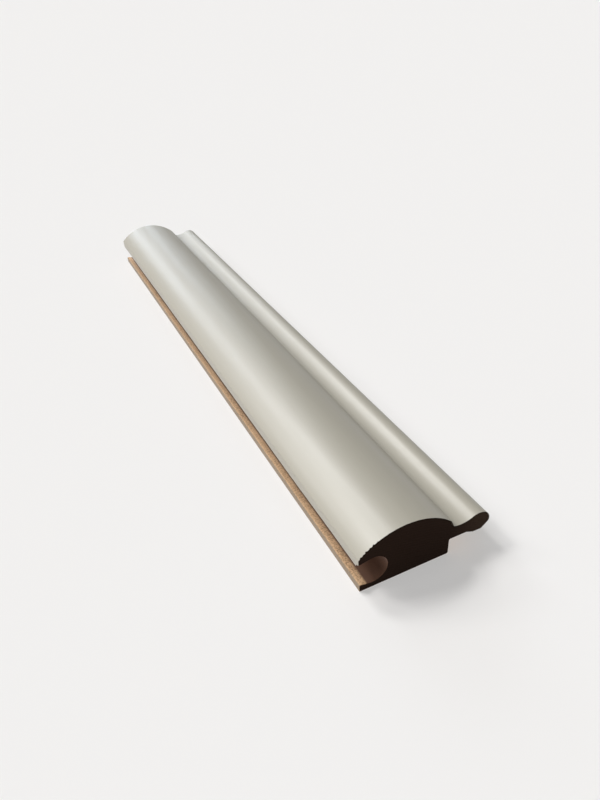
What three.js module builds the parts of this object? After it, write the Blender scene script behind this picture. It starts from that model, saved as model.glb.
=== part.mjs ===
// Half round moulding: a straight length of fibreboard trim wrapped in a thin decor foil.
//
// Sizes are in millimetres. X runs across the moulding, from its grooved edge to its bead.
// Y runs along its length. Z runs up from the flat back that it lies on.
// The origin is under the middle of the whole piece, on the back's plane.
//
// The section, read from the grooved edge over the top:
//   a short upright nose, the half round crown, a leaning flank down to a quirk, a shallow cove
//   that sweeps into a round bead, and the bead's chamfered underside, where the foil ends.
// Read on underneath: the ramp and the relief under the lip, the rebate's wall, the flat back,
// the thin tongue, and the round-bottomed groove that is cut into the edge above the tongue.

import * as THREE from "three";

// Whole piece
const LENGTH = 322;
const FOIL_THICKNESS = 0.3;

// Crown, on the milled core: one arc that springs from the nose's top and crests over the back's middle
const CORE_THICKNESS = 21.7;
const BACK_WIDTH = 34.3;
const NOSE_HEIGHT = 2.1;
const NOSE_CORNER_RADIUS = 0.2;

// Flank and quirk: the flank's foot stands a little past the rebate's wall
const FLANK_LEAN_DEG = 21.5;
const FLANK_OVERHANG = 1.3;
const SHOULDER_RADIUS = 0.7;
const QUIRK_RADIUS = 1.2;

// Rebate under the lip: its height sets the lip's, and a ramp leads from it down to the bead's flat
const REBATE_HEIGHT = 6.5;
const RELIEF_DEPTH = 0.85;
const RAMP_WIDTH = 2;
const RAMP_CORNER_RADIUS = 0.8;
const REBATE_CORNER_RADIUS = 0.5;
const BACK_CORNER_RADIUS = 0.7;

// Bead, over its flat: its reach is from the rebate's wall, and the flat starts inside its middle
const BEAD_RADIUS = 4.1;
const BEAD_RISE = 3.1;
const BEAD_REACH = 11.7;
const FLAT_INSET = 2.9;
const CHAMFER_SLOPE_DEG = 41;
const CHAMFER_DEPTH = 0.9;
const CHAMFER_UPPER_RADIUS = 1.4;
const CHAMFER_LOWER_RADIUS = 0.4;

// Cove: it meets the bead in one tangent, and the slope there sets the cove's place
const COVE_RADIUS = 11.3;
const OGEE_SLOPE_DEG = 27;

// Foil's edges: it hangs free past the groove's upper lip, and stops short of the ramp under the bead
const FOIL_OVERHANG = 2;
const BARE_MARGIN = 0.6;

// Tongue and edge groove: the groove's walls run tangent from its mouth into a round bottom
const TONGUE_THICKNESS = 3.2;
const TONGUE_BACK_RADIUS = 0.3;
const TONGUE_TOP_RADIUS = 0.5;
const GROOVE_MOUTH = 9.15;
const GROOVE_RADIUS = 5.5;
const GROOVE_DEPTH = 10.35;

// Fineness of the curves: the most that a flat facet may stray from its true arc
const FACET_ERROR = 0.004;
const FEWEST_FACETS = 3;
const SAME_POINT = 1e-6;
const RIGHT_ANGLE_DEG = 90;

// Finishes: satin, warm light grey foil, and bare golden brown fibreboard
const foilFinish = new THREE.MeshStandardMaterial({ color: 0xcfcabf, roughness: 0.38, metalness: 0 });
const boardFinish = new THREE.MeshStandardMaterial({ color: 0xb2926c, roughness: 0.85, metalness: 0 });

const point = (x, y) => new THREE.Vector2(x, y);
const along = (start, direction, distance) => start.clone().addScaledVector(direction, distance);
const heading = (degrees) => point(1, 0).rotateAround(point(0, 0), THREE.MathUtils.degToRad(degrees));

// Points on the arc about a centre from start to end. turn is 1 anticlockwise and -1 clockwise.
function arc(centre, start, end, turn) {
  const spoke = start.clone().sub(centre);
  const from = spoke.angle();
  const to = end.clone().sub(centre).angle();
  const sweep = THREE.MathUtils.euclideanModulo(turn * (to - from), 2 * Math.PI);
  const finestStep = 2 * Math.acos(1 - FACET_ERROR / spoke.length());
  const facets = Math.max(FEWEST_FACETS, Math.ceil(sweep / finestStep));
  const turned = (_, i) => start.clone().rotateAround(centre, (turn * sweep * i) / facets);
  return Array.from({ length: facets + 1 }, turned);
}

// The arc that rounds the corner between two straight runs.
function roundedCorner(before, corner, after, radius) {
  const back = before.clone().sub(corner).normalize();
  const ahead = after.clone().sub(corner).normalize();
  const halfAngle = Math.acos(back.dot(ahead)) / 2;
  const setback = radius / Math.tan(halfAngle);
  const middle = back.clone().add(ahead).normalize();
  const centre = along(corner, middle, radius / Math.sin(halfAngle));
  const turn = -Math.sign(back.cross(ahead));
  return arc(centre, along(corner, back, setback), along(corner, ahead, setback), turn);
}

// The fillet between a straight run and the inner side of a circle.
// inward is the run's unit normal, to the fillet's side; way, 1 or -1, picks the end of the chord.
function filletAgainstCircle(circle, onRun, inward, radius, way) {
  const toRun = inward.dot(onRun.clone().sub(circle.centre)) + radius;
  const chord = Math.sqrt((circle.radius - radius) ** 2 - toRun ** 2);
  const runDirection = point(-inward.y, inward.x);
  const centre = along(along(circle.centre, inward, toRun), runDirection, way * chord);
  const outwards = centre.clone().sub(circle.centre).normalize();
  return {
    centre,
    onCircle: along(circle.centre, outwards, circle.radius),
    onRun: along(centre, inward, -radius),
  };
}

// The circle that springs from x = 0 at one height and crests at another over the span's middle.
function risingArc(span, springHeight, crestHeight) {
  const rise = crestHeight - springHeight;
  const radius = ((span / 2) ** 2 + rise ** 2) / (2 * rise);
  return { centre: point(span / 2, crestHeight - radius), radius };
}

// Runs of points joined into one, with no point given twice in a row.
function joined(...runs) {
  return runs.flat().filter((p, i, all) => i === 0 || p.distanceTo(all[i - 1]) > SAME_POINT);
}

// A run of points moved to its left by a distance, with its facets kept parallel.
function offsetLeft(run, distance) {
  const normals = run.slice(1).map((p, i) => {
    const step = p.clone().sub(run[i]).normalize();
    return point(-step.y, step.x);
  });
  return run.map((p, i) => {
    const before = normals[Math.max(i - 1, 0)];
    const after = normals[Math.min(i, normals.length - 1)];
    const mitre = distance / (1 + before.dot(after));
    return along(p, before.clone().add(after), mitre);
  });
}

// Where the main forms stand
const rebateWallX = BACK_WIDTH;
const flatHeight = REBATE_HEIGHT - RELIEF_DEPTH;
const grooveHeight = TONGUE_THICKNESS + GROOVE_MOUTH / 2;
const lipEdge = point(0, TONGUE_THICKNESS + GROOVE_MOUTH);
const crown = risingArc(BACK_WIDTH, lipEdge.y + NOSE_HEIGHT, CORE_THICKNESS);
const bead = { centre: point(rebateWallX + BEAD_REACH, flatHeight + BEAD_RISE), radius: BEAD_RADIUS };
const ogeeNormal = heading(RIGHT_ANGLE_DEG + OGEE_SLOPE_DEG);
const cove = { centre: along(bead.centre, ogeeNormal, BEAD_RADIUS + COVE_RADIUS), radius: COVE_RADIUS };
const groove = { centre: point(GROOVE_DEPTH - GROOVE_RADIUS, grooveHeight), radius: GROOVE_RADIUS };
const rampFoot = point(bead.centre.x - FLAT_INSET, flatHeight);
const rampTop = point(rampFoot.x - RAMP_WIDTH, REBATE_HEIGHT);
const foilHem = point(0, lipEdge.y - FOIL_OVERHANG);
const foilEnd = point(rampFoot.x + BARE_MARGIN, flatHeight);

// The nose and the crown, up to the shoulder, and down the flank into the quirk.
function crownRun() {
  const flankNormal = heading(FLANK_LEAN_DEG);
  const flankFoot = point(rebateWallX + FLANK_OVERHANG, cove.centre.y - COVE_RADIUS);
  const nose = filletAgainstCircle(crown, lipEdge, point(1, 0), NOSE_CORNER_RADIUS, 1);
  const inwardFromFlank = flankNormal.clone().negate();
  const shoulder = filletAgainstCircle(crown, flankFoot, inwardFromFlank, SHOULDER_RADIUS, -1);
  const quirk = filletAgainstCircle(cove, flankFoot, flankNormal, QUIRK_RADIUS, -1);
  return joined(
    [lipEdge],
    arc(nose.centre, nose.onRun, nose.onCircle, -1),
    arc(crown.centre, nose.onCircle, shoulder.onCircle, -1),
    arc(shoulder.centre, shoulder.onCircle, shoulder.onRun, -1),
    arc(quirk.centre, quirk.onRun, quirk.onCircle, 1),
  );
}

// The cove and the bead, from the quirk's end round to the flat under the bead.
function beadRun(coveStart) {
  const upChamfer = heading(CHAMFER_SLOPE_DEG);
  const chamferNormal = heading(CHAMFER_SLOPE_DEG - RIGHT_ANGLE_DEG);
  const chamferFace = along(bead.centre, chamferNormal, BEAD_RADIUS - CHAMFER_DEPTH);
  const inward = chamferNormal.clone().negate();
  const upper = filletAgainstCircle(bead, chamferFace, inward, CHAMFER_UPPER_RADIUS, -1);
  const chamferLength = (upper.onRun.y - flatHeight) / upChamfer.y;
  const chamferFoot = along(upper.onRun, upChamfer, -chamferLength);
  const ogee = along(bead.centre, ogeeNormal, BEAD_RADIUS);
  return joined(
    arc(cove.centre, coveStart, ogee, 1),
    arc(bead.centre, ogee, upper.onCircle, -1),
    arc(upper.centre, upper.onCircle, upper.onRun, -1),
    roundedCorner(upper.onRun, chamferFoot, foilEnd, CHAMFER_LOWER_RADIUS),
  );
}

// From the ramp under the lip back to the grooved edge, and round the groove to its upper lip.
function undersideRun() {
  const rebateCorner = point(rebateWallX, REBATE_HEIGHT);
  const backCorner = point(rebateWallX, 0);
  const tongueCorner = point(0, 0);
  const tongueTop = point(0, TONGUE_THICKNESS);
  const mouthSpoke = lipEdge.clone().sub(groove.centre);
  const tangentTurn = Math.acos(GROOVE_RADIUS / mouthSpoke.length());
  const upperSpoke = mouthSpoke.normalize().rotateAround(point(0, 0), -tangentTurn);
  const upperTangent = along(groove.centre, upperSpoke, GROOVE_RADIUS);
  const lowerTangent = point(upperTangent.x, 2 * grooveHeight - upperTangent.y);
  return joined(
    roundedCorner(foilEnd, rampFoot, rampTop, RAMP_CORNER_RADIUS),
    roundedCorner(rampFoot, rampTop, rebateCorner, RAMP_CORNER_RADIUS),
    roundedCorner(rampTop, rebateCorner, backCorner, REBATE_CORNER_RADIUS),
    roundedCorner(rebateCorner, backCorner, tongueCorner, BACK_CORNER_RADIUS),
    roundedCorner(backCorner, tongueCorner, tongueTop, TONGUE_BACK_RADIUS),
    roundedCorner(tongueCorner, tongueTop, lowerTangent, TONGUE_TOP_RADIUS),
    arc(groove.centre, lowerTangent, upperTangent, 1),
  );
}

// The show face, from the groove's upper lip to the flat under the bead.
function showFace() {
  const overCrown = crownRun();
  return joined(overCrown, beadRun(overCrown.at(-1)));
}

const face = showFace();
const coreOutline = joined(face, undersideRun());
const pastLipEdge = face.slice(1);
const foilInside = joined([foilHem], pastLipEdge, [foilEnd]);
const foilOutside = offsetLeft(foilInside, FOIL_THICKNESS);
const foilOutline = joined(foilOutside, foilInside.toReversed());
const middleX = new THREE.Box2().setFromPoints(foilOutside).getCenter(point(0, 0)).x;

// One piece of the moulding: its section carried straight along the whole length.
function piece(name, outline, finish) {
  const section = new THREE.Shape(outline);
  const geometry = new THREE.ExtrudeGeometry(section, { depth: LENGTH, bevelEnabled: false });
  geometry.rotateX(THREE.MathUtils.degToRad(RIGHT_ANGLE_DEG));
  geometry.translate(-middleX, LENGTH / 2, 0);
  const mesh = new THREE.Mesh(geometry, finish);
  mesh.name = name;
  return mesh;
}

const moulding = new THREE.Group();
moulding.name = "half_round_moulding";
moulding.add(piece("mdf_core", coreOutline, boardFinish));
moulding.add(piece("foil_wrap", foilOutline, foilFinish));

export default moulding;
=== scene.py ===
"""A half round moulding of fibreboard in a satin decor foil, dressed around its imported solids.

The moulding lies on its flat back. X runs across it from the grooved edge to the bead, Y runs along
it, and Z runs up. Sizes are in millimetres until they go into a mesh, which is in metres.
"""

import logging
from dataclasses import dataclass, field
from enum import IntEnum

import bpy
import numpy as np
from mathutils import Matrix, Vector


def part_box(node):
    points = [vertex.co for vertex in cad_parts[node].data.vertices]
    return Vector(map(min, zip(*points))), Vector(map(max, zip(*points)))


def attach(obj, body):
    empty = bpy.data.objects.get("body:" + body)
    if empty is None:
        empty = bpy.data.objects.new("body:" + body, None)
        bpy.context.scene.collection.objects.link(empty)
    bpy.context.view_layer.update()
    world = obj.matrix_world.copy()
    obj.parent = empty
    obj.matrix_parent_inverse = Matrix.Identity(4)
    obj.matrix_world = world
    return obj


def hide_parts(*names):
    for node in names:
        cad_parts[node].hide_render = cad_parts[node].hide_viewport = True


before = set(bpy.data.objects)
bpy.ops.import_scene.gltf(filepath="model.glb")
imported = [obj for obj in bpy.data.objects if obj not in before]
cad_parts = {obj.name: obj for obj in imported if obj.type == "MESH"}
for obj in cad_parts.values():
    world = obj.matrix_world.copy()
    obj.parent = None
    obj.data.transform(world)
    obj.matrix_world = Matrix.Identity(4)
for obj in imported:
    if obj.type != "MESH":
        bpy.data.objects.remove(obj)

log = logging.getLogger("half_round_moulding")
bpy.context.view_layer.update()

MM = 0.001
RIGHT_ANGLE = 90.0
SAME_POINT = 1e-6


# Plane geometry of the section


def point(x: float, z: float) -> np.ndarray:
    """A point of the section, across and up, in millimetres."""
    return np.array([x, z], float)


def heading(degrees: float) -> np.ndarray:
    """The unit vector that many degrees anticlockwise from the X axis."""
    return np.array([np.cos(np.radians(degrees)), np.sin(np.radians(degrees))])


def unit(vector: np.ndarray) -> np.ndarray:
    """The vector divided by its own length."""
    return vector / np.hypot(*vector)


def left_of(vector: np.ndarray) -> np.ndarray:
    """The vector turned a quarter turn anticlockwise."""
    return np.array([-vector[1], vector[0]])


@dataclass(frozen=True)
class Circle:
    """A circle of the section."""

    centre: np.ndarray
    radius: float


@dataclass(frozen=True)
class Fillet:
    """A fillet between a straight run and a circle: its centre, and its end on each of them."""

    centre: np.ndarray
    on_circle: np.ndarray
    on_run: np.ndarray


@dataclass(frozen=True)
class Sampler:
    """How finely a run is cut: the gap in millimetres, the turn in degrees, the fewest pieces."""

    spacing: float
    turn_step: float = 6.0
    fewest: int = 3

    def line(self, start: np.ndarray, end: np.ndarray) -> np.ndarray:
        """Points on a straight run: the start plus even shares of the way to the end.

        Args:
            start: The run's first point.
            end: Its last point.

        Returns:
            The points, one a row.
        """
        pieces = max(1, int(np.ceil(np.hypot(*(end - start)) / self.spacing)))
        shares = np.linspace(0.0, 1.0, pieces + 1)[:, None]
        return start + shares * (end - start)

    def arc(self, centre: np.ndarray, start: np.ndarray, end: np.ndarray, turn: int) -> np.ndarray:
        """Points on an arc: the centre plus the spoke, turned through even steps of angle.

        Args:
            centre: The arc's centre.
            start: Its first point.
            end: A point on the spoke where it stops.
            turn: 1 for anticlockwise and -1 for clockwise.

        Returns:
            The points, one a row.
        """
        spoke = start - centre
        first = np.arctan2(spoke[1], spoke[0])
        last = np.arctan2(*(end - centre)[::-1])
        sweep = (turn * (last - first)) % (2 * np.pi)
        radius = np.hypot(*spoke)
        pieces = max(self.fewest, int(np.ceil(radius * sweep / self.spacing)),
                     int(np.ceil(np.degrees(sweep) / self.turn_step)))
        angles = first + turn * np.linspace(0.0, sweep, pieces + 1)
        return centre + radius * np.column_stack((np.cos(angles), np.sin(angles)))

    def corner(self, before: np.ndarray, at: np.ndarray, after: np.ndarray,
               radius: float) -> np.ndarray:
        """The arc that rounds the corner between two straight runs.

        Args:
            before: A point on the run that comes in.
            at: The sharp corner.
            after: A point on the run that goes out.
            radius: The rounding's radius.

        Returns:
            The arc's points, one a row.
        """
        back = unit(before - at)
        ahead = unit(after - at)
        half_angle = np.arccos(back @ ahead) / 2
        setback = radius / np.tan(half_angle)
        centre = at + unit(back + ahead) * radius / np.sin(half_angle)
        turn = -int(np.sign(back[0] * ahead[1] - back[1] * ahead[0]))
        return self.arc(centre, at + back * setback, at + ahead * setback, turn)


def fillet_against_circle(circle: Circle, on_run: np.ndarray, inward: np.ndarray,
                          radius: float, way: int) -> Fillet:
    """The fillet between a straight run and the inner side of a circle.

    Args:
        circle: The circle.
        on_run: Any point on the straight run.
        inward: The run's unit normal, to the fillet's side.
        radius: The fillet's radius.
        way: 1 or -1, which end of the chord it lies at.

    Returns:
        The fillet, whose centre is one radius from the run and from the circle.
    """
    to_run = inward @ (on_run - circle.centre) + radius
    chord = np.sqrt((circle.radius - radius) ** 2 - to_run**2)
    centre = circle.centre + inward * to_run + left_of(inward) * way * chord
    outwards = unit(centre - circle.centre)
    return Fillet(centre, circle.centre + outwards * circle.radius, centre - inward * radius)


def joined(*runs: np.ndarray) -> np.ndarray:
    """Runs of points made one, with no point given twice in a row.

    Args:
        runs: The runs in order, one point a row.

    Returns:
        The points of all the runs, one a row.
    """
    points = np.vstack(runs)
    steps = np.hypot(*np.diff(points, axis=0).T)
    return points[np.concatenate(([True], steps > SAME_POINT))]


def arc_length(run: np.ndarray) -> np.ndarray:
    """How far along the run each of its points lies, in millimetres."""
    return np.concatenate(([0.0], np.cumsum(np.hypot(*np.diff(run, axis=0).T))))


def normals_left(run: np.ndarray, closed: bool = False) -> np.ndarray:
    """Unit normals to the left of a run: the mean of the normals of the steps before and after.

    Args:
        run: The points, one a row.
        closed: Whether the last point joins the first.

    Returns:
        One normal a point, lengthened at a bend so that an offset keeps its thickness.
    """
    padded = np.vstack((run[-1:], run, run[:1])) if closed else run
    steps = np.diff(padded, axis=0)
    steps = steps / np.hypot(*steps.T)[:, None]
    sides = np.column_stack((-steps[:, 1], steps[:, 0]))
    if not closed:
        sides = np.vstack((sides[:1], sides, sides[-1:]))
    before, after = sides[:-1], sides[1:]
    return (before + after) / (1 + np.sum(before * after, axis=1))[:, None]


# The moulding's section


@dataclass(frozen=True)
class Section:
    """The moulding's section and its driving sizes, in millimetres and degrees.

    x runs from the core's upright nose, z up from the back. row_shift takes x to the row's X. The
    bead's top is flatter here, and the cove tighter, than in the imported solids: 0.3 mm at most.
    """

    foil_thickness: float = 0.3
    core_thickness: float = 21.7
    back_width: float = 34.3
    nose_height: float = 2.1
    nose_corner_radius: float = 0.2
    flank_lean: float = 21.5
    flank_overhang: float = 1.3
    shoulder_radius: float = 0.7
    quirk_radius: float = 1.2
    rebate_height: float = 6.5
    relief_depth: float = 0.85
    ramp_width: float = 2.0
    ramp_corner_radius: float = 0.8
    rebate_corner_radius: float = 0.5
    back_corner_radius: float = 0.7
    bead_radius: float = 4.1
    bead_rise: float = 3.1
    bead_reach: float = 11.7
    bead_top_radius: float = 5.2
    bead_top_turn: float = 15.0
    flat_inset: float = 2.9
    chamfer_slope: float = 41.0
    chamfer_depth: float = 0.9
    chamfer_upper_radius: float = 1.4
    chamfer_lower_radius: float = 0.4
    cove_radius: float = 10.54
    ogee_slope: float = 27.0
    foil_overhang: float = 2.0
    bare_margin: float = 0.6
    tongue_thickness: float = 3.2
    tongue_back_radius: float = 0.3
    tongue_top_radius: float = 0.5
    groove_mouth: float = 9.15
    groove_radius: float = 5.5
    groove_depth: float = 10.35

    @property
    def flat_height(self) -> float:
        """Height of the flat under the bead."""
        return self.rebate_height - self.relief_depth

    @property
    def lip_edge(self) -> np.ndarray:
        """The groove's upper lip, at the foot of the nose."""
        return point(0.0, self.tongue_thickness + self.groove_mouth)

    @property
    def crown(self) -> Circle:
        """The crown's circle: it passes the nose's top and crests over the back's middle.

        Returns:
            The circle, its radius half span squared plus rise squared, over twice the rise.
        """
        rise = self.core_thickness - self.lip_edge[1] - self.nose_height
        half_span = self.back_width / 2
        radius = (half_span**2 + rise**2) / (2 * rise)
        return Circle(point(half_span, self.core_thickness - radius), radius)

    @property
    def bead(self) -> Circle:
        """The circle of the bead's nose."""
        centre = point(self.back_width + self.bead_reach, self.flat_height + self.bead_rise)
        return Circle(centre, self.bead_radius)

    @property
    def bead_top(self) -> Circle:
        """The flatter circle of the bead's top, which meets the nose's a little past the crest."""
        back = heading(RIGHT_ANGLE - self.bead_top_turn) * (self.bead_top_radius - self.bead_radius)
        return Circle(self.bead.centre - back, self.bead_top_radius)

    @property
    def cove(self) -> Circle:
        """The cove's circle, which meets the bead's top in one tangent.

        Returns:
            The circle one bead top's and one cove's radius off, square to the steepest slope.
        """
        away = heading(RIGHT_ANGLE + self.ogee_slope)
        apart = self.bead_top_radius + self.cove_radius
        return Circle(self.bead_top.centre + away * apart, self.cove_radius)

    @property
    def groove(self) -> Circle:
        """The circle of the groove's round bottom."""
        height = self.tongue_thickness + self.groove_mouth / 2
        return Circle(point(self.groove_depth - self.groove_radius, height), self.groove_radius)

    @property
    def ramp_foot(self) -> np.ndarray:
        """Where the ramp under the lip meets the flat under the bead."""
        return point(self.bead.centre[0] - self.flat_inset, self.flat_height)

    @property
    def foil_end(self) -> np.ndarray:
        """Where the foil stops, on the flat under the bead."""
        return self.ramp_foot + point(self.bare_margin, 0.0)

    @property
    def row_shift(self) -> float:
        """What to take from x so that the foiled piece's middle is at 0."""
        return (self.bead.centre[0] + self.bead_radius) / 2

    def crown_run(self, sampler: Sampler) -> np.ndarray:
        """The nose from the groove's lip, the crown, the shoulder, the flank and the quirk.

        Args:
            sampler: How finely the run is cut.

        Returns:
            The points, one a row: arcs about their centres, joined by straight runs.
        """
        flank_normal = heading(self.flank_lean)
        cove_floor = self.cove.centre[1] - self.cove_radius
        flank_foot = point(self.back_width + self.flank_overhang, cove_floor)
        nose = fillet_against_circle(
            self.crown, self.lip_edge, point(1.0, 0.0), self.nose_corner_radius, 1)
        shoulder = fillet_against_circle(
            self.crown, flank_foot, -flank_normal, self.shoulder_radius, -1)
        quirk = fillet_against_circle(self.cove, flank_foot, flank_normal, self.quirk_radius, -1)
        return joined(
            sampler.line(self.lip_edge, nose.on_run),
            sampler.arc(nose.centre, nose.on_run, nose.on_circle, -1),
            sampler.arc(self.crown.centre, nose.on_circle, shoulder.on_circle, -1),
            sampler.arc(shoulder.centre, shoulder.on_circle, shoulder.on_run, -1),
            sampler.line(shoulder.on_run, quirk.on_run),
            sampler.arc(quirk.centre, quirk.on_run, quirk.on_circle, 1),
        )

    def bead_run(self, cove_start: np.ndarray, sampler: Sampler) -> np.ndarray:
        """The cove's arc, the bead's two arcs, its chamfer and the flat, to the foil's cut edge.

        Args:
            cove_start: The point where the quirk ends and the cove starts.
            sampler: How finely the run is cut.

        Returns:
            The points, one a row: each arc starts where the one before it stops.
        """
        up_chamfer = heading(self.chamfer_slope)
        chamfer_normal = heading(self.chamfer_slope - RIGHT_ANGLE)
        chamfer_face = self.bead.centre + chamfer_normal * (self.bead_radius - self.chamfer_depth)
        upper = fillet_against_circle(
            self.bead, chamfer_face, -chamfer_normal, self.chamfer_upper_radius, -1)
        chamfer_length = (upper.on_run[1] - self.flat_height) / up_chamfer[1]
        chamfer_foot = upper.on_run - up_chamfer * chamfer_length
        ogee = self.bead_top.centre + heading(RIGHT_ANGLE + self.ogee_slope) * self.bead_top_radius
        nose = self.bead.centre + heading(RIGHT_ANGLE - self.bead_top_turn) * self.bead_radius
        lower = sampler.corner(upper.on_run, chamfer_foot, self.foil_end, self.chamfer_lower_radius)
        return joined(
            sampler.arc(self.cove.centre, cove_start, ogee, 1),
            sampler.arc(self.bead_top.centre, ogee, nose, -1),
            sampler.arc(self.bead.centre, nose, upper.on_circle, -1),
            sampler.arc(upper.centre, upper.on_circle, upper.on_run, -1),
            sampler.line(upper.on_run, lower[0]),
            lower,
            sampler.line(lower[-1], self.foil_end),
        )

    def underside_run(self, sampler: Sampler) -> np.ndarray:
        """The ramp, the rebate, the back and the tongue, and the groove round to its upper lip.

        Args:
            sampler: How finely the run is cut.

        Returns:
            The points, one a row, without the last, at which the show face starts.
        """
        ramp_top = point(self.ramp_foot[0] - self.ramp_width, self.rebate_height)
        rebate_corner = point(self.back_width, self.rebate_height)
        back_corner = point(self.back_width, 0.0)
        tongue_corner = point(0.0, 0.0)
        tongue_top = point(0.0, self.tongue_thickness)
        spoke = self.lip_edge - self.groove.centre
        tangent_turn = np.degrees(np.arccos(self.groove_radius / np.hypot(*spoke)))
        spoke_angle = np.degrees(np.arctan2(spoke[1], spoke[0]))
        to_tangent = heading(spoke_angle - tangent_turn) * self.groove_radius
        upper_tangent = self.groove.centre + to_tangent
        lower_tangent = point(upper_tangent[0], 2 * self.groove.centre[1] - upper_tangent[1])
        rounded = (
            sampler.corner(self.foil_end, self.ramp_foot, ramp_top, self.ramp_corner_radius),
            sampler.corner(self.ramp_foot, ramp_top, rebate_corner, self.ramp_corner_radius),
            sampler.corner(ramp_top, rebate_corner, back_corner, self.rebate_corner_radius),
            sampler.corner(rebate_corner, back_corner, tongue_corner, self.back_corner_radius),
            sampler.corner(back_corner, tongue_corner, tongue_top, self.tongue_back_radius),
            sampler.corner(tongue_corner, tongue_top, lower_tangent, self.tongue_top_radius),
            sampler.arc(self.groove.centre, lower_tangent, upper_tangent, 1),
        )
        straights = [sampler.line(a[-1], b[0]) for a, b in zip(rounded, rounded[1:])]
        runs = [run for pair in zip(rounded, straights) for run in pair]
        return joined(
            sampler.line(self.foil_end, rounded[0][0]), *runs, rounded[-1],
            sampler.line(upper_tangent, self.lip_edge),
        )[:-1]

    def show_face(self, sampler: Sampler) -> np.ndarray:
        """The face that the foil covers, from the groove's upper lip to the flat under the bead."""
        over_crown = self.crown_run(sampler)
        return joined(over_crown, self.bead_run(over_crown[-1], sampler))


# Whole-array surface tools


class Seed(IntEnum):
    """What fixes each random draw."""

    RIPPLE = 5
    HEM_WAVE = 8
    HEM_CURL = 9
    SCORES = 11
    NEAR_FRINGE = 21
    FAR_FRINGE = 22


def wander(travel: np.ndarray, wavelength: float, seed: Seed) -> np.ndarray:
    """Smooth random values from 0 to 1: knots a wavelength apart, joined by cosine steps.

    Args:
        travel: Where each value stands, in millimetres.
        wavelength: The gap between two knots, in millimetres.
        seed: What fixes the draw.

    Returns:
        One value for each place.
    """
    draw = np.random.default_rng(seed)
    place = (travel - travel.min()) / wavelength
    cell = place.astype(int)
    knots = draw.random(int(place.max()) + 2)
    blend = (1 - np.cos(np.pi * (place - cell))) / 2
    return knots[cell] * (1 - blend) + knots[cell + 1] * blend


def stations(count: int, crowding: float) -> np.ndarray:
    """Shares of the length from 0 to 1, crowded towards both ends: a tanh of even steps, scaled."""
    even = np.linspace(-1.0, 1.0, count)
    return (1 + np.tanh(crowding * even) / np.tanh(crowding)) / 2


def grid_quads(rows: int, columns: int) -> np.ndarray:
    """The quads of a tube: each joins a column to the next one round, and a row to the next.

    Args:
        rows: How many rings of points there are.
        columns: How many points are in each ring.

    Returns:
        Four point numbers a row.
    """
    row, column = np.meshgrid(np.arange(rows - 1), np.arange(columns), indexing="ij")
    beside = (column + 1) % columns
    corners = (row * columns + column, row * columns + beside,
               (row + 1) * columns + beside, (row + 1) * columns + column)
    return np.stack(corners, axis=-1).reshape(-1, 4)


class Face(IntEnum):
    """Which of its piece's two finishes a face takes."""

    SHOWN = 0
    SAWN = 1


def mesh_piece(name: str, points: np.ndarray, quads: np.ndarray, caps: list[list[int]],
               finish_of_face: np.ndarray, finishes: list[bpy.types.Material],
               sharp_over: float) -> bpy.types.Object:
    """A mesh object from whole arrays, shaded smooth up to an angle.

    Args:
        name: The piece's name.
        points: Its points in metres, one a row.
        quads: Four point numbers a row.
        caps: Further faces, of any number of corners.
        finish_of_face: The finish of each face, quads first.
        finishes: Its materials.
        sharp_over: The bend in degrees past which an edge stays sharp.

    Returns:
        The new object, at the origin.
    """
    mesh = bpy.data.meshes.new(name)
    mesh.from_pydata(points.tolist(), [], quads.tolist() + caps)
    for finish in finishes:
        mesh.materials.append(finish)
    mesh.polygons.foreach_set("material_index", finish_of_face.astype(np.int32))
    mesh.shade_smooth()
    mesh.set_sharp_from_angle(angle=np.radians(sharp_over))
    mesh.validate()
    mesh.update()
    piece = bpy.data.objects.new(name, mesh)
    bpy.context.scene.collection.objects.link(piece)
    return piece


# Finishes


SRGB_KNEE, SRGB_SLOPE, SRGB_LIFT, SRGB_POWER = 0.04045, 12.92, 0.055, 2.4


def linear(hex_colour: str) -> tuple[float, float, float, float]:
    """An sRGB hex colour turned to linear light by the sRGB curve.

    Args:
        hex_colour: A hash and six digits.

    Returns:
        Linear red, green and blue, and alpha 1.
    """
    srgb = np.array([int(hex_colour[i:i + 2], 16) for i in (1, 3, 5)]) / 255
    curved = ((srgb + SRGB_LIFT) / (1 + SRGB_LIFT)) ** SRGB_POWER
    shares = np.where(srgb <= SRGB_KNEE, srgb / SRGB_SLOPE, curved)
    return (*shares.tolist(), 1.0)


def per_metre(size_mm: float) -> float:
    """The texture scale that gives features of a size in millimetres."""
    return 1.0 / (size_mm * MM)


def add_node(tree: bpy.types.NodeTree, kind: str, inputs: dict | None = None,
             **settings) -> bpy.types.Node:
    """Adds a node with its settings and links.

    Args:
        tree: The node tree.
        kind: The node's type name.
        inputs: A value, or the output socket to link, for each input's name or number.
        settings: The node's own properties.

    Returns:
        The new node.
    """
    node = tree.nodes.new(kind)
    for name, value in settings.items():
        setattr(node, name, value)
    for name, value in (inputs or {}).items():
        if isinstance(value, bpy.types.NodeSocket):
            tree.links.new(value, node.inputs[name])
        else:
            node.inputs[name].default_value = value
    return node


def new_material(name: str) -> tuple[bpy.types.Material, bpy.types.NodeTree, bpy.types.NodeSocket]:
    """An empty material, to be filled with nodes.

    Args:
        name: The material's name.

    Returns:
        The material, its node tree and the socket for Object coordinates.
    """
    material = bpy.data.materials.new(name)
    material.use_nodes = True
    tree = material.node_tree
    tree.nodes.clear()
    place = add_node(tree, "ShaderNodeTexCoord").outputs["Object"]
    return material, tree, place


MIX_FACTOR, MIX_FIRST, MIX_SECOND, MIX_COLOUR = 0, 6, 7, 2


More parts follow.
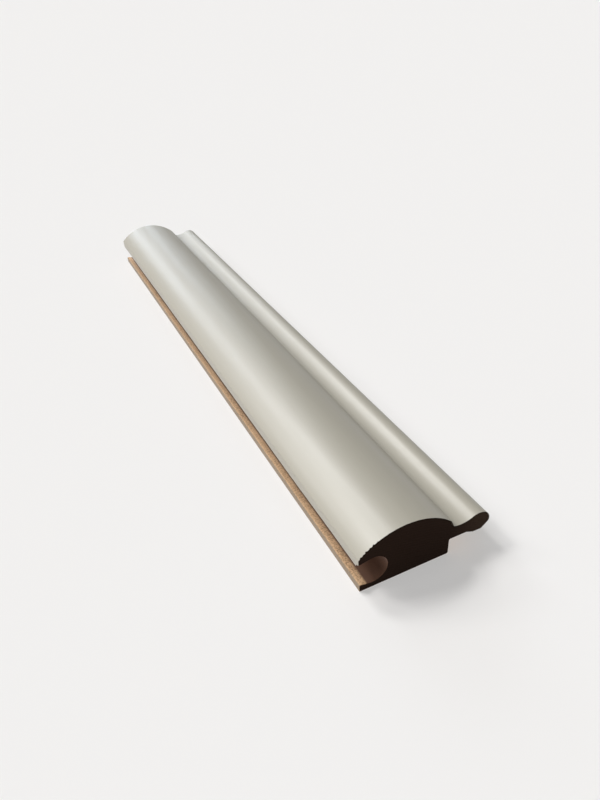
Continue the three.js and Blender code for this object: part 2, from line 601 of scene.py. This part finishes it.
@dataclass(frozen=True)
class DecorFoil:
    """Satin lacquered decor foil, roller-wrapped over fibreboard.

    It gives the eye a warm light grey with a soft, broad sheen that runs in a band along the
    crown, a faint orange peel from the board under it, and faint lengthwise streaks from the
    wrapping rollers.
    """

    body: str = "#b3aea1"
    cloud: str = "#aea99b"
    roughness: float = 0.4
    ior: float = 1.5
    gloss_swing: float = 0.02
    peel_mm: float = 1.4
    peel_octaves: float = 1.0
    peel_depth_mm: float = 0.004
    streak_mm: float = 2.6
    streak_length_mm: float = 90.0
    streak_octaves: float = 3.0
    streak_span: tuple[float, float] = (0.3, 0.7)

    def material(self) -> bpy.types.Material:
        """Two near tones, peel in the bump, and long streaks in the gloss.

        Returns:
            The new material.
        """
        material, tree, place = new_material("satin_decor_foil")
        faintest, strongest = self.streak_span
        stretched = add_node(tree, "ShaderNodeMapping", {
            "Vector": place, "Scale": (1.0, self.streak_mm / self.streak_length_mm, 1.0)})
        streaks = add_node(tree, "ShaderNodeTexNoise", {
            "Vector": stretched.outputs["Vector"], "Scale": per_metre(self.streak_mm),
            "Detail": self.streak_octaves})
        tone = add_node(tree, "ShaderNodeMix", {
            MIX_FACTOR: streaks.outputs["Fac"], MIX_FIRST: linear(self.body),
            MIX_SECOND: linear(self.cloud)}, data_type="RGBA")
        gloss = add_node(tree, "ShaderNodeMapRange", {
            "Value": streaks.outputs["Fac"], "From Min": faintest, "From Max": strongest,
            "To Min": self.roughness - self.gloss_swing,
            "To Max": self.roughness + self.gloss_swing})
        peel = add_node(tree, "ShaderNodeTexNoise", {
            "Vector": place, "Scale": per_metre(self.peel_mm), "Detail": self.peel_octaves})
        bump = add_node(tree, "ShaderNodeBump", {
            "Height": peel.outputs["Fac"], "Strength": 1.0,
            "Distance": self.peel_depth_mm * MM})
        shader = add_node(tree, "ShaderNodeBsdfPrincipled", {
            "Base Color": tone.outputs[MIX_COLOUR], "Roughness": gloss.outputs["Result"],
            "IOR": self.ior, "Normal": bump.outputs["Normal"]})
        add_node(tree, "ShaderNodeOutputMaterial", {"Surface": shader.outputs["BSDF"]})
        return material


@dataclass(frozen=True)
class MilledBoard:
    """Medium density fibreboard, cut by a milling cutter and left bare.

    It gives the eye a matt golden brown, flecked with pale and dark fibres under a millimetre
    long, greyer on the tongue's handled edge, and dark brown deeper in the groove: painted shade
    inside the groove, and the painted shadow of the foil's hem along the tongue's top.
    """

    pale: str = "#e6bf94"
    fibre: str = "#5f3c20"
    handled: str = "#82725e"
    # Painted shade inside the groove and painted shadow of the foil's hem on the tongue's top
    groove_shade: str = "#6e4e3b"
    roughness: float = 0.85
    ior: float = 1.5
    fuzz_sheen: float = 0.15
    fleck_mm: float = 0.6
    fleck_octaves: float = 4.0
    fleck_crispness: float = 0.65
    fleck_span: tuple[float, float] = (0.44, 0.6)
    cloud_mm: float = 7.0
    cloud_octaves: float = 2.0
    fuzz_depth_mm: float = 0.06
    edge_mm: float = 0.5
    edge_share: float = 0.88
    # Where the painted shade and shadow start and end, measured in from the tongue's edge
    shade_from_mm: float = 2.2
    shade_to_mm: float = 3.2
    back_skin_mm: float = 1.0

    def material(self, tongue_edge: float) -> bpy.types.Material:
        """Fibre flecks and clouds in the colour, and fuzz in the bump.

        Args:
            tongue_edge: The tongue's edge in the row's X, in metres, from which the tones set in.

        Returns:
            The new material.
        """
        material, tree, place = new_material("milled_fibreboard")
        palest, darkest = self.fleck_span
        flecks = add_node(tree, "ShaderNodeTexNoise", {
            "Vector": place, "Scale": per_metre(self.fleck_mm),
            "Detail": self.fleck_octaves, "Roughness": self.fleck_crispness})
        sharper = add_node(tree, "ShaderNodeMapRange", {
            "Value": flecks.outputs["Fac"], "From Min": palest, "From Max": darkest})
        clouds = add_node(tree, "ShaderNodeTexNoise", {
            "Vector": place, "Scale": per_metre(self.cloud_mm), "Detail": self.cloud_octaves})
        mixed = add_node(tree, "ShaderNodeMath", {
            0: sharper.outputs["Result"], 1: clouds.outputs["Fac"]}, operation="MULTIPLY")
        fresh = add_node(tree, "ShaderNodeMix", {
            MIX_FACTOR: mixed.outputs["Value"], MIX_FIRST: linear(self.pale),
            MIX_SECOND: linear(self.fibre)}, data_type="RGBA")
        axes = add_node(tree, "ShaderNodeSeparateXYZ", {"Vector": place})
        at_edge = add_node(tree, "ShaderNodeMapRange", {
            "Value": axes.outputs["X"], "From Min": tongue_edge,
            "From Max": tongue_edge + self.edge_mm * MM,
            "To Min": self.edge_share, "To Max": 0.0})
        aged = add_node(tree, "ShaderNodeMix", {
            MIX_FACTOR: at_edge.outputs["Result"], MIX_FIRST: fresh.outputs[MIX_COLOUR],
            MIX_SECOND: linear(self.handled)}, data_type="RGBA")
        # Painted shade: dark brown deeper in the groove, whose edge is the painted shadow of the
        # foil's hem on the tongue's top
        deep = add_node(tree, "ShaderNodeMapRange", {
            "Value": axes.outputs["X"], "From Min": tongue_edge + self.shade_from_mm * MM,
            "From Max": tongue_edge + self.shade_to_mm * MM}, interpolation_type="SMOOTHSTEP")
        off_back = add_node(tree, "ShaderNodeMath", {
            0: axes.outputs["Z"], 1: self.back_skin_mm * MM}, operation="GREATER_THAN")
        in_groove = add_node(tree, "ShaderNodeMath", {
            0: axes.outputs["X"], 1: 0.0}, operation="LESS_THAN")
        shade_here = add_node(tree, "ShaderNodeMath", {
            0: off_back.outputs["Value"], 1: in_groove.outputs["Value"]}, operation="MULTIPLY")
        shade_amount = add_node(tree, "ShaderNodeMath", {
            0: shade_here.outputs["Value"], 1: deep.outputs["Result"]}, operation="MULTIPLY")
        tone = add_node(tree, "ShaderNodeMix", {
            MIX_FACTOR: shade_amount.outputs["Value"], MIX_FIRST: aged.outputs[MIX_COLOUR],
            MIX_SECOND: linear(self.groove_shade)}, data_type="RGBA")
        bump = add_node(tree, "ShaderNodeBump", {
            "Height": flecks.outputs["Fac"], "Strength": 1.0,
            "Distance": self.fuzz_depth_mm * MM})
        shader = add_node(tree, "ShaderNodeBsdfPrincipled", {
            "Base Color": tone.outputs[MIX_COLOUR], "Roughness": self.roughness,
            "IOR": self.ior, "Sheen Weight": self.fuzz_sheen, "Normal": bump.outputs["Normal"]})
        add_node(tree, "ShaderNodeOutputMaterial", {"Surface": shader.outputs["BSDF"]})
        return material


# A wave texture of scale 1 repeats after this much
WAVE_STEP = np.pi / 10


@dataclass(frozen=True)
class ShadedSawCut:
    """The sawn end of fibreboard: the board's own brown, darkened to near-black as painted shade of
    the end, which faces away from the lamps.

    It gives the eye that near-black brown, dull, with faint curved marks from the saw blade's teeth
    and a lighter tone towards the bead.
    """

    # Painted shade: the sawn end's brown darkened to near-black, as the end faces away from the
    # lamps
    end_shade: str = "#29190f"
    bead_side_tone: str = "#4a3a2c"
    roughness: float = 0.8
    ior: float = 1.5
    specular: float = 0.08
    blade_radius_mm: float = 125.0
    blade_offset_mm: float = 40.0
    tooth_step_mm: float = 1.1
    mark_wobble: float = 1.5
    mark_depth_mm: float = 0.03
    pore_mm: float = 0.5
    pore_octaves: float = 2.0
    bead_from_x_mm: float = 8.0
    bead_to_x_mm: float = 22.0

    def material(self) -> bpy.types.Material:
        """Rings of tooth marks about a far centre, pores, and a lighter tone towards the bead.

        Returns:
            The new material.
        """
        material, tree, place = new_material("shaded_saw_cut")
        about_blade = add_node(tree, "ShaderNodeMapping", {
            "Vector": place,
            "Location": (self.blade_offset_mm * MM, 0.0, self.blade_radius_mm * MM)})
        teeth = add_node(tree, "ShaderNodeTexWave", {
            "Vector": about_blade.outputs["Vector"],
            "Scale": per_metre(self.tooth_step_mm) * WAVE_STEP, "Distortion": self.mark_wobble},
            wave_type="RINGS", rings_direction="Y")
        pores = add_node(tree, "ShaderNodeTexNoise", {
            "Vector": place, "Scale": per_metre(self.pore_mm), "Detail": self.pore_octaves})
        across = add_node(tree, "ShaderNodeSeparateXYZ", {"Vector": place})
        # The end's colour turns lighter towards the bead, in pore-sized flecks
        bead = add_node(tree, "ShaderNodeMapRange", {
            "Value": across.outputs["X"], "From Min": self.bead_from_x_mm * MM,
            "From Max": self.bead_to_x_mm * MM}, interpolation_type="SMOOTHSTEP")
        bead_side_flecks = add_node(tree, "ShaderNodeMath", {
            0: pores.outputs["Fac"], 1: bead.outputs["Result"]}, operation="MULTIPLY")
        tone = add_node(tree, "ShaderNodeMix", {
            MIX_FACTOR: bead_side_flecks.outputs["Value"], MIX_FIRST: linear(self.end_shade),
            MIX_SECOND: linear(self.bead_side_tone)}, data_type="RGBA")
        relief = add_node(tree, "ShaderNodeMath", {
            0: teeth.outputs["Fac"], 1: pores.outputs["Fac"]}, operation="ADD")
        bump = add_node(tree, "ShaderNodeBump", {
            "Height": relief.outputs["Value"], "Strength": 1.0,
            "Distance": self.mark_depth_mm * MM})
        shader = add_node(tree, "ShaderNodeBsdfPrincipled", {
            "Base Color": tone.outputs[MIX_COLOUR], "Roughness": self.roughness,
            "IOR": self.ior, "Specular IOR Level": self.specular,
            "Normal": bump.outputs["Normal"]})
        add_node(tree, "ShaderNodeOutputMaterial", {"Surface": shader.outputs["BSDF"]})
        return material


@dataclass(frozen=True)
class LightTable:
    """The white table top that the moulding lies on: matt opal, and softly lit from below."""

    opal: str = "#b8b6b4"
    light: str = "#f4f3f2"
    glow: float = 0.46
    roughness: float = 0.9
    specular: float = 0.0

    def material(self) -> bpy.types.Material:
        """A matt white with a little light of its own.

        Returns:
            The new material.
        """
        material, tree, _ = new_material("white_table_top")
        shader = add_node(tree, "ShaderNodeBsdfPrincipled", {
            "Base Color": linear(self.opal), "Roughness": self.roughness,
            "Specular IOR Level": self.specular,
            "Emission Color": linear(self.light), "Emission Strength": self.glow})
        add_node(tree, "ShaderNodeOutputMaterial", {"Surface": shader.outputs["BSDF"]})
        return material


# The two pieces


@dataclass(frozen=True)
class Notch:
    """A chip in the foil's sawn edge: where it is, how wide and how deep, in millimetres."""

    at: float
    width: float
    depth: float


@dataclass
class BoardCore:
    """The milled fibreboard body, with broken arrises and cutter scores on its bare faces."""

    section: Section
    length: float
    sawn: bpy.types.Material
    spacing: float = 0.3
    rows: int = 150
    crowding: float = 2.0
    sharp_over: float = 35.0
    arris: float = 0.1
    score_depth: float = 0.03
    score_width: float = 0.7
    # Within this of each end, the core's faces under the foil take the sawn end's painted shade
    end_shade_margin: float = 0.7
    milled: MilledBoard = field(default_factory=MilledBoard)

    def build(self) -> bpy.types.Object:
        """Carries the section's ring along the length.

        Point (row, column) is ring point column, moved inward by its score depth and by the arris
        at the two end rows, at the row's share of the length.

        Returns:
            The core's object.
        """
        sampler = Sampler(self.spacing)
        face = self.section.show_face(sampler)
        ring = joined(face, self.section.underside_run(sampler))
        inward = -normals_left(ring, closed=True)
        travel = arc_length(ring)
        bare = (np.arange(len(ring)) > len(face)) & (ring[:, 1] > self.arris)
        scores = self.score_depth * wander(travel, self.score_width, Seed.SCORES) * bare
        share = stations(self.rows, self.crowding)
        end_rows = np.zeros(self.rows)
        end_rows[[0, -1]] = self.arris
        setback = scores[None, :] + end_rows[:, None]
        across = ring[None, :, :] + inward[None, :, :] * setback[:, :, None]
        along = (share - 0.5) * self.length
        x = (across[..., 0] - self.section.row_shift) * MM
        y = np.broadcast_to(along[:, None] * MM, x.shape)
        z = np.maximum(across[..., 1], 0.0) * MM
        points = np.stack((x, y, z), axis=-1).reshape(-1, 3)
        quads = grid_quads(self.rows, len(ring))
        far = (self.rows - 1) * len(ring) + np.arange(len(ring))
        caps = [np.arange(len(ring))[::-1].tolist(), far.tolist()]
        finish = np.full(len(quads) + 2, Face.SHOWN)
        finish[len(quads):] = Face.SAWN
        # Under the foil, the core's faces near each end take the sawn end's painted shade too
        row_middle = (along[:-1] + along[1:]) / 2
        near_end = self.length / 2 - np.abs(row_middle) < self.end_shade_margin
        under_foil = np.arange(len(ring)) < len(face)
        end_shaded = (near_end[:, None] & under_foil[None, :]).reshape(-1)
        finish[:len(quads)][end_shaded] = Face.SAWN
        finishes = [self.milled.material(-self.section.row_shift * MM), self.sawn]
        return mesh_piece("core_body", points, quads, caps, finish, finishes, self.sharp_over)

    def dress(self, piece: bpy.types.Object) -> None:
        """Hangs the core on the frame in place of its solid.

        Args:
            piece: The core's object.
        """
        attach(piece, "root")
        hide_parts("mdf_core")
        log.info("%s: %d faces", piece.name, len(piece.data.polygons))


@dataclass
class FoilSkin:
    """The decor foil: a thin skin with a free hem over the groove, chipped at its sawn ends.

    tear_depths say how far back the hem is torn at the near end, at each of tear_heights.
    """

    section: Section
    length: float
    sawn: bpy.types.Material
    spacing: float = 0.2
    rows: int = 96
    crowding: float = 2.4
    sharp_over: float = 50.0
    glue_gap: float = 0.02
    ripple: float = 0.012
    ripple_width: float = 3.5
    hem_wave: float = 0.25
    hem_wave_length: float = 26.0
    hem_curl: float = 0.22
    curl_stretch: float = 1.7
    ragged: float = 0.05
    ragged_width: float = 0.45
    tear_heights: tuple[float, ...] = (10.35, 10.6, 11.95, 12.2, 12.4)
    tear_depths: tuple[float, ...] = (2.1, 1.75, 1.15, 0.5, 0.0)
    notch_rounding: float = 0.6
    near_notches: tuple[Notch, ...] = (
        Notch(1.0, 0.7, 0.35), Notch(2.3, 0.5, 0.25), Notch(3.5, 0.8, 0.45), Notch(5.2, 0.6, 0.3),
        Notch(6.6, 0.8, 0.4), Notch(8.2, 0.5, 0.25), Notch(12.5, 0.4, 0.15))
    far_notches: tuple[Notch, ...] = (
        Notch(2.0, 0.6, 0.3), Notch(9.5, 0.5, 0.25), Notch(17.0, 0.8, 0.35), Notch(30.5, 0.5, 0.2))
    foil: DecorFoil = field(default_factory=DecorFoil)

    def end_setback(self, travel: np.ndarray, notches: tuple[Notch, ...],
                    seed: Seed) -> np.ndarray:
        """How far the foil's sawn edge stands back from the end.

        It is the deeper of the ragged fibres and the notches, each of which is its depth times a
        power of how near its middle the column is.

        Args:
            travel: Distance of each column from the nose's corner, in millimetres.
            notches: The chips on this end.
            seed: What fixes the raggedness.

        Returns:
            One distance a column.
        """
        setback = self.ragged * wander(travel, self.ragged_width, seed)
        for notch in notches:
            nearness = np.clip(1 - np.abs(travel - notch.at) / (notch.width / 2), 0, None)
            setback = np.maximum(setback, notch.depth * nearness**self.notch_rounding)
        return setback

    def build(self) -> bpy.types.Object:
        """Carries the foil's closed ring, outer run and inner run back, along the length.

        Point (row, column) is the column's place on its run, with the hem's waves and curl, at the
        share of the way between the column's own near and far edges.

        Returns:
            The foil's object.
        """
        section = self.section
        sampler = Sampler(self.spacing)
        face = section.show_face(sampler)
        hem = sampler.line(section.lip_edge - point(0.0, section.foil_overhang), section.lip_edge)
        bed = joined(hem, face)
        normal = normals_left(bed)
        travel = arc_length(bed) - (section.foil_overhang + section.nose_height)
        share = stations(self.rows, self.crowding)
        along = (share - 0.5) * self.length
        sunk = self.ripple * wander(travel, self.ripple_width, Seed.RIPPLE)
        outer = bed + normal * (section.foil_thickness - sunk)[:, None]
        inner = bed + normal * self.glue_gap
        ring = np.vstack((outer, inner[::-1]))

        hanging = np.clip((section.lip_edge[1] - ring[:, 1]) / section.foil_overhang, 0, 1)
        hanging = np.where(ring[:, 0] < section.nose_corner_radius, hanging, 0.0)
        shorter = self.hem_wave * wander(along, self.hem_wave_length, Seed.HEM_WAVE)
        curl_length = self.hem_wave_length * self.curl_stretch
        curl = self.hem_curl * wander(along, curl_length, Seed.HEM_CURL)
        x = ring[None, :, 0] + curl[:, None] * hanging[None, :] ** 2
        z = ring[None, :, 1] + shorter[:, None] * hanging[None, :]

        near = self.end_setback(travel, self.near_notches, Seed.NEAR_FRINGE)
        tear = np.interp(bed[:, 1], self.tear_heights, self.tear_depths)
        near = np.where(bed[:, 0] < section.nose_corner_radius, np.maximum(near, tear), near)
        far = self.end_setback(travel, self.far_notches, Seed.FAR_FRINGE)
        near = np.concatenate((near, near[::-1]))
        far = np.concatenate((far, far[::-1]))
        start = -self.length / 2 + near
        stop = self.length / 2 - far
        y = start[None, :] + share[:, None] * (stop - start)[None, :]

        points = np.stack((x - section.row_shift, y, z), axis=-1).reshape(-1, 3) * MM
        columns = len(ring)
        quads = grid_quads(self.rows, columns)
        first = np.arange(len(bed) - 1)
        strip = np.stack((first, columns - 1 - first, columns - 2 - first, first + 1), axis=-1)
        last_row = (self.rows - 1) * columns
        # The foil's cut edges take the sawn end's painted shade
        finish = np.repeat((Face.SHOWN, Face.SAWN), (len(quads), 2 * len(strip)))
        quads = np.vstack((quads, strip, strip[:, ::-1] + last_row))
        finishes = [self.foil.material(), self.sawn]
        return mesh_piece("foil_skin", points, quads, [], finish, finishes, self.sharp_over)

    def dress(self, piece: bpy.types.Object) -> None:
        """Hangs the foil on the frame in place of its solid.

        Args:
            piece: The foil's object.
        """
        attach(piece, "root")
        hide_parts("foil_wrap")
        log.info("%s: %d faces", piece.name, len(piece.data.polygons))


# The studio


DAYLIGHT = "#e3f0ff"


@dataclass(frozen=True)
class Lamp:
    """A soft far lamp: where it stands in the sky, how wide it looks, its strength and its colour.

    The bearing runs from +Y towards +X. It, the elevation and the width are in degrees.
    """

    name: str
    bearing: float
    elevation: float
    width: float
    strength: float
    colour: str = "#ffffff"

    def build(self) -> bpy.types.Object:
        """Makes the lamp and turns it so that its light comes from its place in the sky.

        Returns:
            The lamp's object.
        """
        light = bpy.data.lights.new(self.name, "SUN")
        light.angle = np.radians(self.width)
        light.energy = self.strength
        light.color = linear(self.colour)[:3]
        lamp = bpy.data.objects.new(self.name, light)
        turn, rise = np.radians((self.bearing, self.elevation)).tolist()
        toward = Vector((np.sin(turn) * np.cos(rise), np.cos(turn) * np.cos(rise), np.sin(rise)))
        lamp.rotation_euler = toward.to_track_quat("Z", "Y").to_euler()
        bpy.context.scene.collection.objects.link(lamp)
        return lamp


@dataclass
class Studio:
    """A white table, soft lamps over the far end, a side fill, a pale horizon and the camera."""

    table_half: float = 20.0
    lamps: tuple[Lamp, ...] = (
        Lamp("key", -44.0, 46.0, 14.0, 1.38),
        Lamp("key_low", -40.0, 30.0, 12.0, 0.44),
        Lamp("side_fill", -90.0, 45.0, 30.0, 0.45),
        Lamp("row_high", -10.0, 51.0, 12.0, 1.06),
        Lamp("row_middle", -19.0, 40.0, 12.0, 0.49),
        Lamp("row_low", -13.0, 30.0, 12.0, 0.12, DAYLIGHT),
        Lamp("row_right", 15.0, 39.0, 14.0, 0.1),
        Lamp("far_left", -5.0, 20.0, 16.0, 0.36, DAYLIGHT),
        Lamp("far_right", 12.0, 20.0, 12.0, 0.23, DAYLIGHT),
        Lamp("far_low", 22.0, 12.0, 12.0, 0.06, DAYLIGHT),
    )
    horizon: float = 0.35
    ceiling: float = 0.03
    horizon_top: tuple[float, float] = (8.0, 20.0)
    lens: float = 28.61
    sensor: float = 36.0
    clip: tuple[float, float] = (0.01, 100.0)
    eye: tuple[float, float, float] = (-0.09157, -0.27575, 0.16591)
    forward: tuple[float, float, float] = (0.3305, 0.7555, -0.5657)
    up: tuple[float, float, float] = (0.2844, 0.4927, 0.8224)

    def build(self) -> None:
        """Builds the table, the lamps, the surround and the camera."""
        half = self.table_half
        mesh = bpy.data.meshes.new("table_top")
        corners = [(-half, -half, 0), (half, -half, 0), (half, half, 0), (-half, half, 0)]
        mesh.from_pydata(corners, [], [tuple(range(len(corners)))])
        mesh.materials.append(LightTable().material())
        table = bpy.data.objects.new("table_top", mesh)
        bpy.context.scene.collection.objects.link(table)
        for lamp in self.lamps:
            lamp.build()
        bpy.context.scene.world = self.room()
        bpy.context.scene.view_settings.view_transform = "Standard"
        bpy.context.scene.view_settings.look = "None"
        self.camera()

    def room(self) -> bpy.types.World:
        """A dim room whose far walls are pale: a band over the horizon that fades upwards.

        Returns:
            The world that holds it.
        """
        world = bpy.data.worlds.new("room")
        world.use_nodes = True
        tree = world.node_tree
        tree.nodes.clear()
        fade_start, fade_end = np.sin(np.radians(self.horizon_top)).tolist()
        direction = add_node(tree, "ShaderNodeTexCoord").outputs["Generated"]
        axes = add_node(tree, "ShaderNodeSeparateXYZ", {"Vector": direction})
        band = add_node(tree, "ShaderNodeMapRange", {
            "Value": axes.outputs["Z"], "From Min": fade_start, "From Max": fade_end,
            "To Min": self.horizon, "To Max": self.ceiling}, interpolation_type="SMOOTHSTEP")
        walls = add_node(tree, "ShaderNodeBackground", {
            "Color": linear(LightTable.light), "Strength": band.outputs["Result"]})
        add_node(tree, "ShaderNodeOutputWorld", {"Surface": walls.outputs["Background"]})
        return world

    def camera(self) -> None:
        """Stands the camera where the photograph's was."""
        forward = Vector(self.forward).normalized()
        right = forward.cross(Vector(self.up)).normalized()
        up = right.cross(forward)
        lens = bpy.data.cameras.new("camera")
        lens.lens = self.lens
        lens.sensor_width = self.sensor
        lens.clip_start, lens.clip_end = self.clip
        camera = bpy.data.objects.new("camera", lens)
        turn = Matrix((right, up, -forward)).transposed().to_4x4()
        camera.matrix_world = Matrix.Translation(Vector(self.eye)) @ turn
        bpy.context.scene.collection.objects.link(camera)
        bpy.context.scene.camera = camera


def main() -> None:
    """Builds the moulding and the studio."""
    logging.basicConfig(level=logging.INFO, format="%(message)s")
    low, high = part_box("mdf_core")
    section = Section()
    length = (high.y - low.y) / MM
    sawn = ShadedSawCut().material()
    for part in (BoardCore(section, length, sawn), FoilSkin(section, length, sawn)):
        part.dress(part.build())
    Studio().build()


if __name__ == "__main__":
    main()
